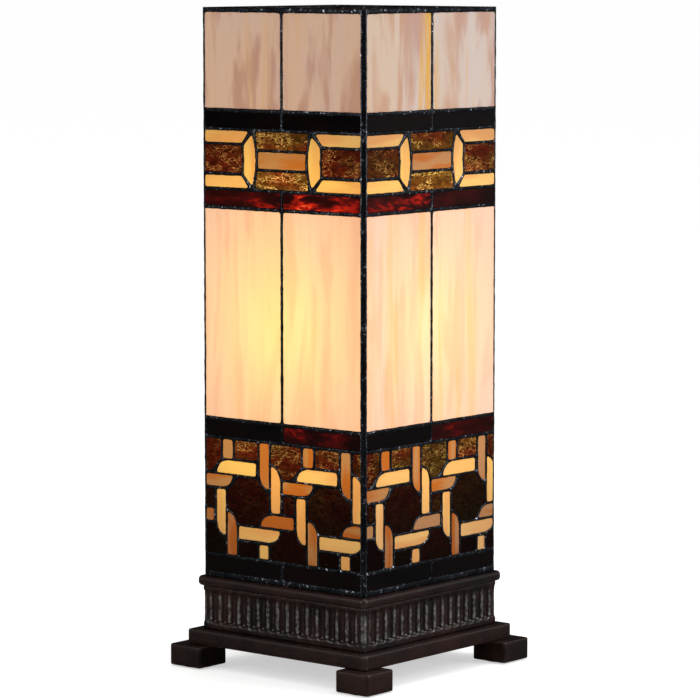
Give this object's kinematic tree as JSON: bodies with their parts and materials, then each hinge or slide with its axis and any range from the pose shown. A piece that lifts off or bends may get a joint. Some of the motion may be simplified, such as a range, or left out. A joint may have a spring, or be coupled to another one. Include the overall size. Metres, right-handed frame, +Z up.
{
  "type": "stained glass table lamp",
  "caption": "Square column table lamp of copper-foil stained glass panels on a fluted cast base with block feet, with a screw-in bulb.",
  "frame": {"origin": "on the table, under the middle of the lamp", "axes": "+Z up along the column, -Y to the front, +X to the right; the gland in the base faces +Y"},
  "size_m": [0.176, 0.176, 0.45],
  "materials": {
    "bronze": "satin dark bronze with worn edges",
    "felt": "felt",
    "zinc_steel": "zinc plated",
    "black_plastic": "satin",
    "brass": "plain",
    "porcelain": "matt",
    "solder_tip": "dull solder",
    "black_glass_bead": "glossy",
    "nickel_cap": "nickel plated",
    "pearl_glass": "pearl",
    "clear_glass": "clear",
    "filament": "drawn wire",
    "solder": "dark patina over solder",
    "opal_glass": "streaky opal",
    "black_glass": "glossy",
    "ruby_glass": "rippled",
    "amber_glass": "rippled",
    "honey_glass": "opal",
    "orange_glass": "opal"
  },
  "bodies": {
    "base": {"top_slab": "bronze", "fluted_frieze": "bronze", "plinth": "bronze", "foot_front_left": "bronze", "foot_front_right": "bronze", "foot_back_right": "bronze", "foot_back_left": "bronze", "felt_pads": "felt", "foot_screws": "zinc_steel", "bottom_cover": "zinc_steel", "stack_screws": "zinc_steel", "cable_gland": "black_plastic", "gland_nut": "black_plastic", "threaded_tube": "zinc_steel", "tube_nuts": "zinc_steel", "riser_sleeve": "brass", "lampholder_cap": "black_plastic", "lampholder_skirt": "black_plastic", "porcelain_insert": "porcelain", "screw_shell": "brass", "centre_contact": "brass", "terminal_screws": "brass"},
    "shade": {"corner_cames": "solder", "stiffener_strips": "brass", "front_lead_lattice": "solder", "front_opal_glass": "opal_glass", "front_black_glass": "black_glass", "front_ruby_glass": "ruby_glass", "front_amber_glass": "amber_glass", "front_honey_glass": "honey_glass", "front_orange_glass": "orange_glass", "right_lead_lattice": "solder", "right_opal_glass": "opal_glass", "right_black_glass": "black_glass", "right_ruby_glass": "ruby_glass", "right_amber_glass": "amber_glass", "right_honey_glass": "honey_glass", "right_orange_glass": "orange_glass", "back_lead_lattice": "solder", "back_opal_glass": "opal_glass", "back_black_glass": "black_glass", "back_ruby_glass": "ruby_glass", "back_amber_glass": "amber_glass", "back_honey_glass": "honey_glass", "back_orange_glass": "orange_glass", "left_lead_lattice": "solder", "left_opal_glass": "opal_glass", "left_black_glass": "black_glass", "left_ruby_glass": "ruby_glass", "left_amber_glass": "amber_glass", "left_honey_glass": "honey_glass", "left_orange_glass": "orange_glass"},
    "bulb_tip": {"bulb_contact": "solder_tip"},
    "bulb": {"bulb_insulator": "black_glass_bead", "bulb_cap": "nickel_cap", "bulb_globe": "pearl_glass", "bulb_stem": "clear_glass", "bulb_filament": "filament"}
  },
  "joints": [
    {"name": "shade_lift", "type": "slide", "parent": "base", "child": "shade", "axis": [0, 0, 1], "range_m": [0, 0.25]},
    {"name": "bulb_lift", "type": "slide", "parent": "base", "child": "bulb_tip", "axis": [0, 0, 1], "range_m": [0, 0.0164]},
    {"name": "bulb_turn", "type": "hinge", "parent": "bulb_tip", "child": "bulb", "pos_m": [0, 0, 0.17], "axis": [0, 0, 1], "range_deg": [0, 1620]}
  ],
  "couplings": [
    {"joint": "bulb_lift", "follows": "bulb_turn", "m_per_rad": 0.00057757}
  ]
}
